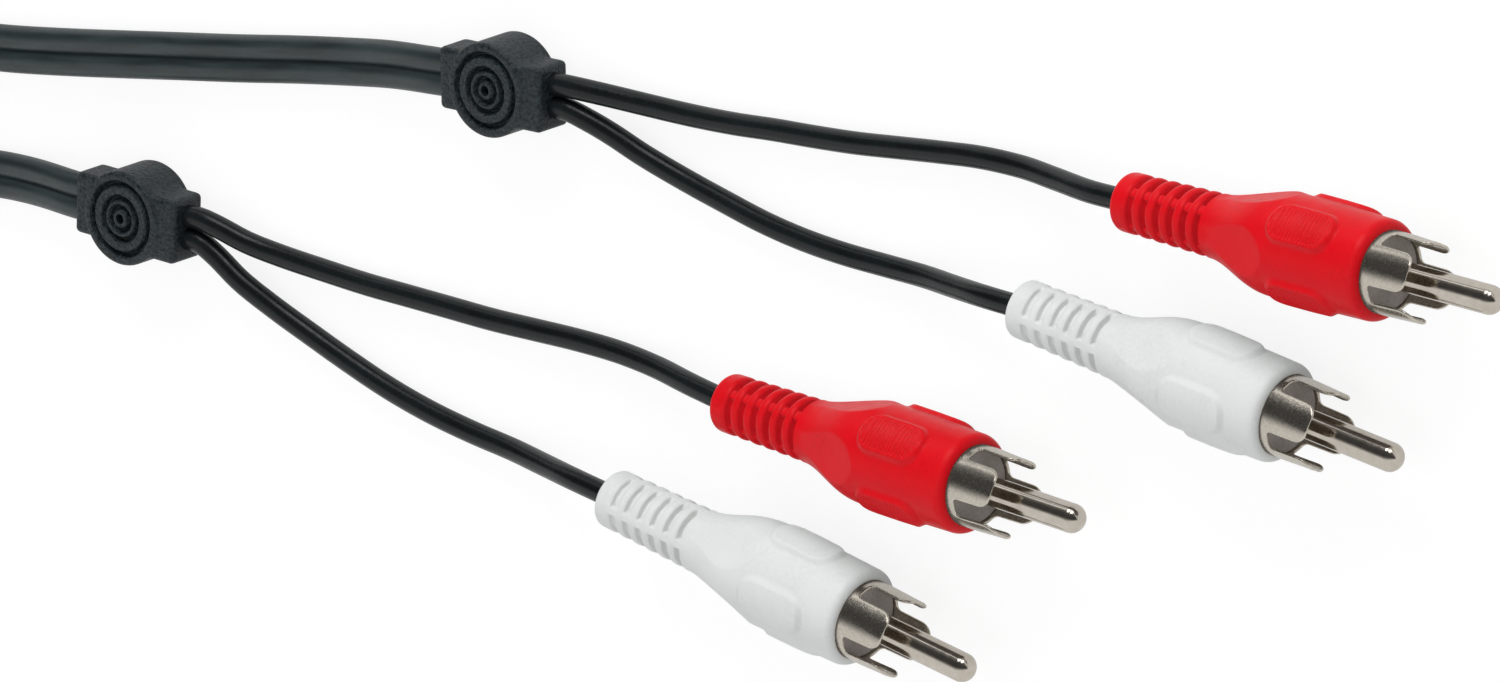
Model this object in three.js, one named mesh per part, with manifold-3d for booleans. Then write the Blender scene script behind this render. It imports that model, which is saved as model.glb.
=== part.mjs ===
// A stereo audio cable as it lies on a table: a pair of phono plugs at each end, red and white, whose thin
// leads meet in a moulded splitter, and one flat twin lead that joins the two splitters. Millimetres, +Z up.
// The origin is on the table, under the middle of the plugs and splitters. The plugs point towards +X.
import * as THREE from 'three';
import { mergeVertices } from 'three/addons/utils/BufferGeometryUtils.js';
import Module from 'manifold-3d';

const wasm = await Module();
wasm.setup();

// Driving dimensions. Along a plug, zero is the front face of its overmould and the pin points to plus.
const gap = 0.3; // clearance between pieces that touch
const past = 1; // how far a cutter runs beyond the face that it cuts
const mergeTolerance = 1e-4;
const pin = {
  radius: 1.6, reach: 15.7, noseLength: 1.5, shoulder: 4.0,
  tailRadius: 1.1, tailEnd: 9.0, cupRadius: 0.75, cupDepth: 2.6, facets: 12,
};
const shell = {
  outerRadius: 4.5, wall: 0.35, rear: 6.0, band: 1.0, facets: 16,
  petals: 4, petalReach: 6.7, petalWidth: 4.8, petalRound: 2.0, petalSteps: 3,
};
const crimp = { wall: 0.4, front: 11.5, length: 3.0, tabWidth: 2.4, tabThickness: 0.35, facets: 10 };
const insulator = { front: 0.6, facets: 16 };
const wire = {
  jacketRadius: 1.25, coreRadius: 0.7, coreFront: 9.5, strandRadius: 0.4, strandFront: 7.2, facets: 8,
};
const overmould = {
  frontRadius: 5.5, frontRound: 0.5, bodyRadius: 5.65, bodyMiddle: 8.0,
  neckStart: 13.2, neckEnd: 25.0, neckRadius: 3.5, length: 37.4, rearRadius: 3.2, rearRound: 0.5,
  roundSteps: 2, neckSteps: 5, facets: 16,
};
const slot = { count: 6, pitch: 1.84, width: 0.8, first: 25.1, floorRadius: 2.1, spineWidth: 1.4 };
const pad = { count: 4, middle: 9.7, length: 9.6, width: 4.8, round: 2.2, height: 0.5, roundSteps: 3 };
const splitter = {
  discRadius: 5.25, height: 6.3, edge: 0.4, holeRadius: 0.5, holeDepth: 1.0,
  grooves: [1.25, 2.35, 4.0], grooveWidth: 0.4, grooveDepth: 0.3, discFacets: 20,
  blockBottom: 1.0, blockTop: 5.5, blockRound: 0.6, roundSteps: 2,
  leadReach: 7.3, leadHalfWidth: 3.45, twinReach: 6.5, twinHalfWidth: 3.45, twinShift: 0.15,
};
const twin = { lobeRadius: 1.3, lobeSpacing: 2.7, lobeSteps: 4 };
const coil = {
  x: -170.4, y: -5.4, innerRadius: 13.7, outerRadius: 38.8, height: 5.8,
  round: 1.2, roundSteps: 1, facets: 28,
};
const facetLength = { lead: 7.5, twin: 10.8 }; // of a cord's tube, along its route

// Where each plug lies, in degrees and millimetres: the middle of its front face seen from above, its
// heading and how far its nose is raised. The overmould and shell are turned about the plug's own axis,
// by the same amount in both plugs of a colour.
const plugs = {
  upper_red: { colour: 'red', x: 83.06, y: 28.66, heading: 3.43, pitch: 2.05 },
  upper_white: { colour: 'white', x: 70.36, y: 9.13, heading: -3.48, pitch: 0 },
  lower_red: { colour: 'red', x: 28.5, y: -9.57, heading: 1.41, pitch: 3.73 },
  lower_white: { colour: 'white', x: 14.19, y: -28.51, heading: -6.09, pitch: 1.34 },
};
const turns = { red: { body: 45, shell: 36 }, white: { body: -5, shell: 31 } };
const splitters = {
  upper_splitter: { x: -42.89, y: 16.21, heading: 5.1 },
  lower_splitter: { x: -92.22, y: -11.14, heading: 1.7 },
};

// Routes of the leads, from the splitter to the plug's boot, and of the twin lead, from each splitter
// to the edge of its coil.
const leadRoutes = {
  upper_red_lead: [
    [-35.2, 18.2, 3.25], [-33.5, 18.35, 3.2], [-28.7, 18.4, 2.4], [-23.8, 18.4, 1.6], [-18.0, 18.7, 1.3],
    [-12.1, 19.3, 1.3], [-6.3, 20.1, 1.3], [-0.5, 20.8, 1.3], [5.3, 21.6, 1.3], [11.1, 22.6, 1.3],
    [16.9, 23.6, 1.3], [22.7, 24.5, 1.3], [28.6, 25.0, 1.5], [34.3, 25.4, 2.7], [40.1, 25.9, 4.2],
    [45.4, 26.4, 4.8],
  ],
  upper_white_lead: [
    [-35.0, 15.6, 3.25], [-33.8, 15.7, 3.2], [-31.2, 15.1, 2.8], [-28.3, 14.2, 2.3], [-24.1, 12.7, 1.7],
    [-18.5, 11.3, 1.3], [-12.8, 10.3, 1.3], [-7.1, 9.4, 1.3], [-1.4, 8.9, 1.3], [4.4, 8.8, 1.3],
    [10.2, 9.0, 1.3], [16.1, 9.5, 2.0], [21.7, 10.2, 3.7], [27.3, 11.0, 5.5], [32.7, 11.4, 6.15],
  ],
  lower_red_lead: [
    [-84.5, -9.6, 3.25], [-83.1, -9.55, 3.2], [-80.8, -10.0, 2.9], [-77.6, -10.9, 2.3], [-73.2, -11.5, 1.6],
    [-67.4, -11.7, 1.3], [-61.5, -11.7, 1.3], [-55.7, -11.5, 1.3], [-49.8, -11.3, 1.3], [-43.9, -11.1, 1.3],
    [-38.1, -10.7, 1.3], [-32.2, -10.3, 1.3], [-26.4, -10.1, 1.4], [-20.5, -10.1, 2.1],
    [-14.7, -10.2, 3.4], [-9.1, -10.5, 4.05],
  ],
  lower_white_lead: [
    [-84.4, -12.2, 3.25], [-83.3, -12.2, 3.2], [-81.2, -13.3, 2.9], [-78.2, -15.4, 2.4], [-74.3, -17.4, 1.7],
    [-68.9, -19.4, 1.3], [-63.3, -21.1, 1.3], [-57.7, -22.6, 1.3], [-52.0, -23.7, 1.3], [-46.2, -24.4, 1.3],
    [-40.4, -24.7, 1.6], [-34.8, -24.6, 3.0], [-29.0, -24.3, 4.8], [-23.3, -24.5, 5.55],
  ],
};
const twinRoutes = {
  upper_twin_lead: [
    [-49.7, 15.7, 3.25], [-52.7, 15.3, 3.25], [-59.2, 14.1, 2.3], [-65.7, 12.6, 1.6], [-73.6, 10.8, 1.4],
    [-81.6, 8.9, 1.4], [-89.6, 7.1, 1.4], [-97.5, 5.3, 1.4], [-105.5, 3.5, 1.4], [-113.5, 1.8, 1.4],
    [-119.4, 1.2, 1.4], [-125.2, 2.1, 1.4], [-130.7, 4.4, 1.5],
  ],
  lower_twin_lead: [
    [-99.0, -11.3, 3.25], [-101.5, -11.4, 3.25], [-107.7, -11.9, 2.3], [-112.6, -12.5, 1.7],
    [-117.4, -13.2, 1.5], [-122.2, -13.8, 1.7], [-126.7, -14.7, 2.3], [-131.0, -16.3, 3.2],
  ],
};

// One closed solid from a geometry: shared corners are merged, empty faces are dropped, and a mesh
// whose faces point inwards is turned round.
function solidFrom(geometry) {
  const bare = new THREE.BufferGeometry();
  bare.setAttribute('position', geometry.getAttribute('position'));
  if (geometry.index) bare.setIndex(geometry.index);
  const merged = mergeVertices(bare, mergeTolerance);
  const places = merged.getAttribute('position');
  const index = merged.index.array;
  const faces = [];
  const [a, b, c] = [new THREE.Vector3(), new THREE.Vector3(), new THREE.Vector3()];
  let volume = 0;
  for (let i = 0; i < index.length; i += 3) {
    const [p, q, r] = [index[i], index[i + 1], index[i + 2]];
    if (p === q || q === r || r === p) continue;
    faces.push([p, q, r]);
    a.fromBufferAttribute(places, p);
    b.fromBufferAttribute(places, q);
    c.fromBufferAttribute(places, r);
    volume += a.dot(b.cross(c));
  }
  const triVerts = Uint32Array.from(faces.flatMap(([p, q, r]) => (volume < 0 ? [p, r, q] : [p, q, r])));
  const vertProperties = new Float32Array(places.array);
  return new wasm.Manifold(new wasm.Mesh({ numProp: 3, vertProperties, triVerts }));
}

function geometryFrom(solid) {
  const mesh = solid.getMesh();
  const geometry = new THREE.BufferGeometry();
  geometry.setAttribute('position', new THREE.BufferAttribute(mesh.vertProperties, 3));
  geometry.setIndex(new THREE.BufferAttribute(mesh.triVerts, 1));
  geometry.computeVertexNormals();
  return geometry;
}

// A solid of revolution about X or Z. Each outline point is [place along the axis, radius].
function turned(outline, facets, axis = 'x') {
  const points = outline.map(([along, radius]) => new THREE.Vector2(radius, along));
  const lathe = new THREE.LatheGeometry(points, facets);
  if (axis === 'x') lathe.rotateZ(-Math.PI / 2);
  else lathe.rotateX(Math.PI / 2);
  return solidFrom(lathe);
}

// A plain rod, or a tube when it has an inner radius, between two places along X.
function rod(from, to, radius, facets, innerRadius = 0) {
  if (innerRadius === 0) return turned([[from, 0], [from, radius], [to, radius], [to, 0]], facets);
  const bore = [[from, innerRadius], [to, innerRadius]];
  return turned([bore[0], [from, radius], [to, radius], bore[1], bore[0]], facets);
}

function block(from, to) {
  const low = new THREE.Vector3(...from);
  const span = new THREE.Vector3(...to).sub(low);
  const box = new THREE.BoxGeometry(span.x, span.y, span.z);
  box.translate(low.x + span.x / 2, low.y + span.y / 2, low.z + span.z / 2);
  return solidFrom(box);
}

// Points of an outline's round corner, [along, radius], by angle in degrees from the axis direction.
function corner(along, radius, round, from, to, steps) {
  return Array.from({ length: steps + 1 }, (_, i) => {
    const angle = THREE.MathUtils.degToRad(from + ((to - from) * i) / steps);
    return [along + round * Math.cos(angle), radius + round * Math.sin(angle)];
  });
}

// A flat shape in the X-Y plane, raised from one height to another.
function raised(shape, bottom, top, curveSegments) {
  const depth = top - bottom;
  const prism = new THREE.ExtrudeGeometry(shape, { depth, bevelEnabled: false, curveSegments });
  prism.translate(0, 0, bottom);
  return solidFrom(prism);
}

// A rectangle with round corners; roundBack says whether its two corners towards -X are round as well.
function roundedPanel(fromX, toX, halfWidth, round, roundBack) {
  const shape = new THREE.Shape();
  const back = roundBack ? round : 0;
  shape.moveTo(fromX + back, -halfWidth);
  shape.lineTo(toX - round, -halfWidth);
  shape.absarc(toX - round, -halfWidth + round, round, -Math.PI / 2, 0);
  shape.absarc(toX - round, halfWidth - round, round, 0, Math.PI / 2);
  shape.lineTo(fromX + back, halfWidth);
  if (roundBack) {
    shape.absarc(fromX + back, halfWidth - round, round, Math.PI / 2, Math.PI);
    shape.absarc(fromX + back, -halfWidth + round, round, Math.PI, Math.PI * 1.5);
  }
  shape.closePath();
  return shape;
}

function aroundAxis(solid, count) {
  const copies = Array.from({ length: count }, (_, i) => solid.rotate([(i * 360) / count, 0, 0]));
  return copies.reduce((all, copy) => all.add(copy));
}

// The centre pin: a round-nosed rod with a thinner tail that ends in a solder cup.
function pinSolid() {
  const noseStart = pin.reach - pin.noseLength;
  const nose = [0, 30, 60, 90].map((degrees) => {
    const angle = THREE.MathUtils.degToRad(90 - degrees);
    return [noseStart + pin.noseLength * Math.cos(angle), pin.radius * Math.sin(angle)];
  });
  const cupFloor = -pin.tailEnd + pin.cupDepth;
  const outline = [
    [cupFloor, 0], [cupFloor, pin.cupRadius], [-pin.tailEnd, pin.cupRadius], [-pin.tailEnd, pin.tailRadius],
    [-pin.shoulder, pin.tailRadius], [-pin.shoulder, pin.radius], ...nose.slice(0, -1), [pin.reach, 0],
  ];
  return turned(outline, pin.facets);
}

// The insulator: a disc that fills the shell behind its petals and holds the pin at its shoulder.
function insulatorSolid() {
  const outer = shell.outerRadius - shell.wall - gap;
  const step = -pin.shoulder - gap;
  const outline = [
    [-shell.rear, pin.tailRadius + gap], [-shell.rear, outer], [insulator.front, outer],
    [insulator.front, pin.radius + gap], [step, pin.radius + gap], [step, pin.tailRadius + gap],
    [-shell.rear, pin.tailRadius + gap],
  ];
  return turned(outline, insulator.facets);
}

// The contact shell: a tube with spring petals in front, and a tab behind that ends in a crimp ring.
function shellSolid() {
  const inner = shell.outerRadius - shell.wall;
  const band = rod(-shell.rear, shell.band, shell.outerRadius, shell.facets, inner);
  const sleeve = rod(0, shell.petalReach + past, shell.outerRadius, shell.facets, inner);
  const panel = roundedPanel(-past, shell.petalReach, shell.petalWidth / 2, shell.petalRound, false);
  const cutter = raised(panel, inner / 2, shell.outerRadius + past, shell.petalSteps);
  const cutters = aroundAxis(cutter, shell.petals);
  const ringInner = wire.jacketRadius + gap;
  const ringRear = -crimp.front - crimp.length;
  const ring = rod(ringRear, -crimp.front, ringInner + crimp.wall, crimp.facets, ringInner);
  const tabTop = shell.outerRadius - crimp.tabThickness / 2;
  const tabBottom = tabTop - crimp.tabThickness;
  const half = crimp.tabWidth / 2;
  const webRear = -crimp.front - crimp.tabThickness;
  const tab = block([webRear, -half, tabBottom], [-shell.rear + shell.wall, half, tabTop]);
  const web = block([webRear, -half, ringInner + crimp.wall / 2], [-crimp.front, half, tabTop]);
  return band.add(sleeve.intersect(cutters)).add(ring).add(tab).add(web);
}

// The room that the overmould leaves for what it is moulded round.
function mouldedRoom() {
  const shellRoom = rod(-shell.rear - gap, past, shell.outerRadius + gap, shell.facets);
  const leadRoom = rod(-overmould.length - past, -shell.rear, wire.jacketRadius + gap, crimp.facets);
  const ringRadius = wire.jacketRadius + gap + crimp.wall + gap;
  const ringRoom = rod(-crimp.front - crimp.length - gap, -crimp.front + gap, ringRadius, crimp.facets);
  const half = crimp.tabWidth / 2 + gap;
  const tabTop = shell.outerRadius - crimp.tabThickness / 2 + gap;
  const tabBottom = tabTop - crimp.tabThickness - 2 * gap;
  const rear = -crimp.front - crimp.tabThickness - gap;
  const tabRoom = block([rear, -half, tabBottom], [-shell.rear, half, tabTop]);
  const webRoom = block([rear, -half, wire.jacketRadius], [-crimp.front + gap, half, tabTop]);
  return shellRoom.add(leadRoom).add(ringRoom).add(tabRoom).add(webRoom);
}

// The overmould's outline from its front face to its rear one: a rounded collar, a body that swells a
// little, a neck that follows half a cosine wave, and a boot that tapers to a rounded end.
function overmouldOutline(proud) {
  const o = overmould;
  const slope = Array.from({ length: o.neckSteps + 1 }, (_, i) => {
    const t = i / o.neckSteps;
    const share = 0.5 + 0.5 * Math.cos(Math.PI * t);
    const along = -o.neckStart - (o.neckEnd - o.neckStart) * t;
    return [along, o.neckRadius + (o.bodyRadius - o.neckRadius) * share];
  });
  const front = corner(-o.frontRound, o.frontRadius - o.frontRound, o.frontRound, 0, 90, o.roundSteps);
  const rearMiddle = -o.length + o.rearRound;
  const rear = corner(rearMiddle, o.rearRadius - o.rearRound, o.rearRound, 90, 180, o.roundSteps);
  const outline = [...front, [-o.bodyMiddle, o.bodyRadius], ...slope, ...rear];
  return [[0, 0], ...outline.map(([along, radius]) => [along, radius + proud]), [-o.length, 0]];
}

function flexSlots() {
  const wide = overmould.neckRadius + past;
  const rings = Array.from({ length: slot.count }, (_, i) => {
    const front = -slot.first - i * slot.pitch;
    return rod(front - slot.width, front, wide, overmould.facets, slot.floorRadius);
  });
  const rear = -slot.first - slot.count * slot.pitch;
  const half = slot.spineWidth / 2;
  const upright = block([rear, -half, -wide], [-slot.first + past, half, wide]);
  const level = block([rear, -wide, -half], [-slot.first + past, wide, half]);
  return rings.reduce((all, ring) => all.add(ring)).subtract(upright.add(level));
}

function gripPads() {
  const from = -pad.middle - pad.length / 2;
  const panel = roundedPanel(from, from + pad.length, pad.width / 2, pad.round, true);
  const top = overmould.bodyRadius + pad.height + past;
  const columns = aroundAxis(raised(panel, overmould.bodyRadius / 2, top, pad.roundSteps), pad.count);
  return columns.intersect(turned(overmouldOutline(pad.height), overmould.facets));
}

// The overmould, cut from the room that its inner pieces need. The shell may be turned in it.
function overmouldSolid(shellTurn) {
  const body = turned(overmouldOutline(0), overmould.facets).add(gripPads());
  return body.subtract(flexSlots()).subtract(mouldedRoom().rotate([-shellTurn, 0, 0]));
}

// The lead's own end inside the plug: its jacket through the boot and the crimp ring, the inner core,
// and the bare strands in the pin's solder cup.
function leadEndSolid() {
  const jacketFront = -crimp.front + gap;
  const outline = [
    [-overmould.length, 0], [-overmould.length, wire.jacketRadius], [jacketFront, wire.jacketRadius],
    [jacketFront, wire.coreRadius], [-wire.coreFront, wire.coreRadius],
    [-wire.coreFront, wire.strandRadius], [-wire.strandFront, wire.strandRadius], [-wire.strandFront, 0],
  ];
  return turned(outline, wire.facets);
}

// The splitter: a thick disc with turned grooves in its top, and a block on each side for the leads.
function splitterSolid() {
  const p = splitter;
  const grooves = p.grooves.flatMap((radius) => [
    [p.height, radius - p.grooveWidth / 2],
    [p.height - p.grooveDepth, radius],
    [p.height, radius + p.grooveWidth / 2],
  ]);
  const holeFloor = p.height - p.holeDepth;
  const outline = [
    [holeFloor, 0], [holeFloor, p.holeRadius], [p.height, p.holeRadius], ...grooves,
    [p.height, p.discRadius - p.edge], [p.height - p.edge, p.discRadius], [p.edge, p.discRadius],
    [0, p.discRadius - p.edge], [0, 0],
  ];
  const disc = turned(outline, p.discFacets, 'z');
  const bevel = {
    depth: p.blockTop - p.blockBottom - 2 * p.blockRound,
    bevelThickness: p.blockRound, bevelSize: p.blockRound, bevelOffset: -p.blockRound,
    bevelSegments: p.roundSteps, curveSegments: p.roundSteps,
  };
  const under = p.discRadius / 2;
  const leadSide = new THREE.ExtrudeGeometry(
    roundedPanel(-under, p.leadReach, p.leadHalfWidth, 2 * p.blockRound, false), bevel);
  const twinSide = new THREE.ExtrudeGeometry(
    roundedPanel(-under, p.twinReach, p.twinHalfWidth, 2 * p.blockRound, false), bevel);
  twinSide.rotateZ(Math.PI);
  leadSide.translate(0, 0, p.blockBottom + p.blockRound);
  twinSide.translate(0, p.twinShift, p.blockBottom + p.blockRound);
  return disc.add(solidFrom(leadSide)).add(solidFrom(twinSide));
}

// A cord's plain tube along its route: a section extruded along a smooth curve through the points.
function tube(route, section, stepLength) {
  const path = new THREE.CatmullRomCurve3(route.map((point) => new THREE.Vector3(...point)));
  const steps = Math.max(2, Math.round(path.getLength() / stepLength));
  return solidFrom(new THREE.ExtrudeGeometry(section, { steps, extrudePath: path }));
}

function roundSection(radius, sides) {
  const shape = new THREE.Shape();
  const points = Array.from({ length: sides }, (_, i) => {
    const angle = (i * 2 * Math.PI) / sides;
    return new THREE.Vector2(radius * Math.cos(angle), radius * Math.sin(angle));
  });
  return shape.setFromPoints(points);
}

// Two round lobes side by side, with the waist between them; its width runs along Y.
function twinSection() {
  const shape = new THREE.Shape();
  const points = [1, -1].flatMap((side) => Array.from({ length: twin.lobeSteps + 1 }, (_, i) => {
    const angle = (i * Math.PI) / twin.lobeSteps + (side < 0 ? Math.PI : 0);
    const across = (side * twin.lobeSpacing) / 2 + twin.lobeRadius * Math.sin(angle);
    return new THREE.Vector2(twin.lobeRadius * Math.cos(angle), across);
  }));
  return shape.setFromPoints(points);
}

// The plain ring that the wound part of the twin lead fills.
function coilSolid() {
  const { innerRadius, outerRadius, height, round, roundSteps } = coil;
  const outline = [
    ...corner(height - round, outerRadius - round, round, 90, 0, roundSteps),
    ...corner(height - round, innerRadius + round, round, 0, -90, roundSteps),
    ...corner(round, innerRadius + round, round, 270, 180, roundSteps),
    ...corner(round, outerRadius - round, round, 180, 90, roundSteps),
  ];
  return turned([...outline, outline[0]], coil.facets, 'z');
}

const finishes = {
  red: new THREE.MeshStandardMaterial({ color: '#e0121c', roughness: 0.45, metalness: 0 }),
  white: new THREE.MeshStandardMaterial({ color: '#e8eaea', roughness: 0.45, metalness: 0 }),
  nickel: new THREE.MeshStandardMaterial({ color: '#b9b4aa', roughness: 0.3, metalness: 1 }),
  insulator: new THREE.MeshStandardMaterial({ color: '#7a7572', roughness: 0.6, metalness: 0 }),
  cord: new THREE.MeshStandardMaterial({ color: '#22282a', roughness: 0.4, metalness: 0 }),
  splitter: new THREE.MeshStandardMaterial({ color: '#2a3132', roughness: 0.65, metalness: 0 }),
};

function piece(name, solid, finish) {
  const mesh = new THREE.Mesh(geometryFrom(solid), finishes[finish]);
  mesh.name = name;
  return mesh;
}

// One plug, turned and lowered until its overmould rests on the table.
function plug(name, place) {
  const { degToRad } = THREE.MathUtils;
  const group = new THREE.Group();
  const turn = turns[place.colour];
  const body = piece(`${name}_overmould`, overmouldSolid(turn.shell - turn.body), place.colour);
  const metal = piece(`${name}_contact_shell`, shellSolid(), 'nickel');
  body.rotation.x = -degToRad(turn.body);
  metal.rotation.x = -degToRad(turn.shell);
  group.add(body, metal);
  group.add(piece(`${name}_insulator`, insulatorSolid(), 'insulator'));
  group.add(piece(`${name}_centre_pin`, pinSolid(), 'nickel'));
  group.add(piece(`${name}_lead_end`, leadEndSolid(), 'cord'));
  group.rotation.set(0, -degToRad(place.pitch), degToRad(place.heading), 'ZYX');
  group.updateMatrixWorld(true);
  const lowest = new THREE.Box3().setFromObject(body, true).min.z;
  group.position.set(place.x, place.y, -lowest);
  return group;
}

const cable = new THREE.Group();
for (const [name, place] of Object.entries(plugs)) cable.add(plug(name, place));
for (const [name, place] of Object.entries(splitters)) {
  const mesh = piece(name, splitterSolid(), 'splitter');
  mesh.rotation.z = THREE.MathUtils.degToRad(place.heading);
  mesh.position.set(place.x, place.y, 0);
  cable.add(mesh);
}
const leadSection = roundSection(wire.jacketRadius, wire.facets);
for (const [name, route] of Object.entries(leadRoutes)) {
  cable.add(piece(name, tube(route, leadSection, facetLength.lead), 'cord'));
}
for (const [name, route] of Object.entries(twinRoutes)) {
  cable.add(piece(name, tube(route, twinSection(), facetLength.twin), 'cord'));
}
const wound = piece('twin_lead_coil', coilSolid(), 'cord');
wound.position.set(coil.x, coil.y, 0);
cable.add(wound);

export default cable;
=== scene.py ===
# A stereo phono cable on a pale table: red and white plugs on thin leads, two moulded splitters, and the
# flat twin lead between them, wound in a coil.
import math

import bmesh
import bpy
import numpy as np
from mathutils import Matrix


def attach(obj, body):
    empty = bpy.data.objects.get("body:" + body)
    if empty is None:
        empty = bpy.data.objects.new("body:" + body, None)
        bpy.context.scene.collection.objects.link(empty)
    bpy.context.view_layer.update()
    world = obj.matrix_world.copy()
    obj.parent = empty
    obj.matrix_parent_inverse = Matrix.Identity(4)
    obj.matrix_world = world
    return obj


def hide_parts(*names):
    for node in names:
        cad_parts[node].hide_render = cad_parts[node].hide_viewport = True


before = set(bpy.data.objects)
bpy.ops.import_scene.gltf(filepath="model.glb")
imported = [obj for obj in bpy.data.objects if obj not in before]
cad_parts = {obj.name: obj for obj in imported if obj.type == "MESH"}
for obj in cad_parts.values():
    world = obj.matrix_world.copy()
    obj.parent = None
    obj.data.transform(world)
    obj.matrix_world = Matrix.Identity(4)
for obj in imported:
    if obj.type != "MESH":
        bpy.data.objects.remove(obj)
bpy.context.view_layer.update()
mm = 0.001
mergeDistance = 1e-7
print("frame loaded")

# The camera: its own axes in the frame, the point on the table in the middle of the picture, and the width
# that the picture covers there, in millimetres. The photograph has little perspective, so the lens is long.
camera = {
    "right": (0.7609, 0.0456, -0.6473), "up": (-0.2478, 0.9423, -0.225), "back": (0.5997, 0.3316, 0.7283),
    "target": (-9.362, -4.683, -0.053), "pictureWidth": 159.82, "lens": 760.0, "sensor": 36.0,
}


def makeCamera():
    # Distance = lens * picture width / sensor width, back along the view direction
    data = bpy.data.cameras.new("camera")
    data.lens = camera["lens"]
    data.sensor_width = camera["sensor"]
    distance = camera["lens"] * camera["pictureWidth"] / camera["sensor"]
    place = np.array(camera["target"]) + distance * np.array(camera["back"])
    made = bpy.data.objects.new("camera", data)
    bpy.context.scene.collection.objects.link(made)
    turn = Matrix([camera["right"], camera["up"], camera["back"]]).transposed().to_4x4()
    made.matrix_world = Matrix.Translation(place * mm) @ turn
    bpy.context.scene.camera = made


makeCamera()
print("camera made")


def linear(hexColour):
    # sRGB hex to linear red, green, blue and alpha
    values = [int(hexColour[i:i + 2], 16) / 255 for i in (1, 3, 5)]
    return [v / 12.92 if v <= 0.04045 else ((v + 0.055) / 1.055) ** 2.4 for v in values] + [1.0]


def addNode(tree, kind, inputs=None, **settings):
    # One node with its settings; an input is a value, or the socket that it is linked from
    node = tree.nodes.new(kind)
    for key, value in settings.items():
        setattr(node, key, value)
    for name, value in (inputs or {}).items():
        if isinstance(value, bpy.types.NodeSocket):
            tree.links.new(value, node.inputs[name])
        else:
            node.inputs[name].default_value = value
    return node


def newMaterial(name):
    material = bpy.data.materials.new(name)
    material.use_nodes = True
    tree = material.node_tree
    tree.nodes.clear()
    return material, tree


def unit(vector):
    vector = np.asarray(vector, float)
    return vector / np.linalg.norm(vector, axis=-1, keepdims=True)


def meshFromGrids(name, grids, material, sharpDegrees=38):
    # Each grid holds rows of points in millimetres. A row joins the next one by quads and closes on itself;
    # wrapRows joins the last row to the first. A row whose points coincide becomes a pole.
    # The UV map holds the share of the way round a row, and the millimetres from the first row.
    points, faces, places, start = [], [], [], 0
    for grid, wrapRows in grids:
        rows, columns = grid.shape[:2]
        index = start + np.arange(rows * columns).reshape(rows, columns)
        here = index if wrapRows else index[:-1]
        after = np.roll(index, -1, axis=0) if wrapRows else index[1:]
        quads = np.stack([here, np.roll(here, -1, 1), np.roll(after, -1, 1), after], axis=-1)
        centres = grid.mean(axis=1)
        along = np.concatenate([[0], np.cumsum(np.linalg.norm(np.diff(centres, axis=0), axis=1)), [0]])
        u = np.broadcast_to(np.arange(columns) / columns, here.shape)
        v0 = np.broadcast_to(along[:len(here), None], here.shape)
        v1 = np.broadcast_to(along[1:len(here) + 1, None], here.shape)
        corners = [(u, v0), (u + 1 / columns, v0), (u + 1 / columns, v1), (u, v1)]
        places.append(np.stack([np.stack(corner, axis=-1) for corner in corners], axis=2).reshape(-1, 2))
        points.append(grid.reshape(-1, 3) * mm)
        faces.append(quads.reshape(-1, 4))
        start += rows * columns
    mesh = bpy.data.meshes.new(name)
    mesh.from_pydata(np.vstack(points).tolist(), [], np.vstack(faces).tolist())
    mesh.uv_layers.new(name="round_and_along").data.foreach_set("uv", np.vstack(places).ravel())
    work = bmesh.new()
    work.from_mesh(mesh)
    bmesh.ops.remove_doubles(work, verts=work.verts, dist=mergeDistance)
    bmesh.ops.recalc_face_normals(work, faces=work.faces)
    work.to_mesh(mesh)
    work.free()
    mesh.polygons.foreach_set("use_smooth", np.ones(len(mesh.polygons), bool))
    mesh.set_sharp_from_angle(angle=math.radians(sharpDegrees))
    mesh.materials.append(material)
    made = bpy.data.objects.new(name, mesh)
    bpy.context.scene.collection.objects.link(made)
    return made


def grainedSurface(tree, size, low, high, detail=2.0):
    # Noise whose grains are about the given size in millimetres, mapped between two values
    place = addNode(tree, "ShaderNodeTexCoord").outputs["Object"]
    noise = addNode(tree, "ShaderNodeTexNoise", {"Vector": place, "Scale": 1000 / size, "Detail": detail})
    spread = addNode(tree, "ShaderNodeMapRange",
                     {"Value": noise.outputs["Fac"], "From Min": 0.3, "From Max": 0.7, "To Min": low,
                      "To Max": high})
    return noise.outputs["Fac"], spread.outputs["Result"]


def mixedColour(tree, share, first, second):
    # The first colour where the share is 0, the second where it is 1
    mix = addNode(tree, "ShaderNodeMix", {}, data_type="RGBA")
    tree.links.new(share, mix.inputs[0])
    for socket, value in ((mix.inputs[6], first), (mix.inputs[7], second)):
        if isinstance(value, bpy.types.NodeSocket):
            tree.links.new(value, socket)
        else:
            socket.default_value = linear(value)
    return mix.outputs[2]


def bumped(tree, height, depth, normal=None):
    # Bump whose full height is the depth in millimetres
    inputs = {"Height": height, "Strength": 1.0, "Distance": depth * mm}
    if normal is not None:
        inputs["Normal"] = normal
    return addNode(tree, "ShaderNodeBump", inputs).outputs["Normal"]


def finished(material, inputs):
    # The material with its one shader, linked to the output
    tree = material.node_tree
    shader = addNode(tree, "ShaderNodeBsdfPrincipled", inputs)
    addNode(tree, "ShaderNodeOutputMaterial", {"Surface": shader.outputs["BSDF"]})
    return material


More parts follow.
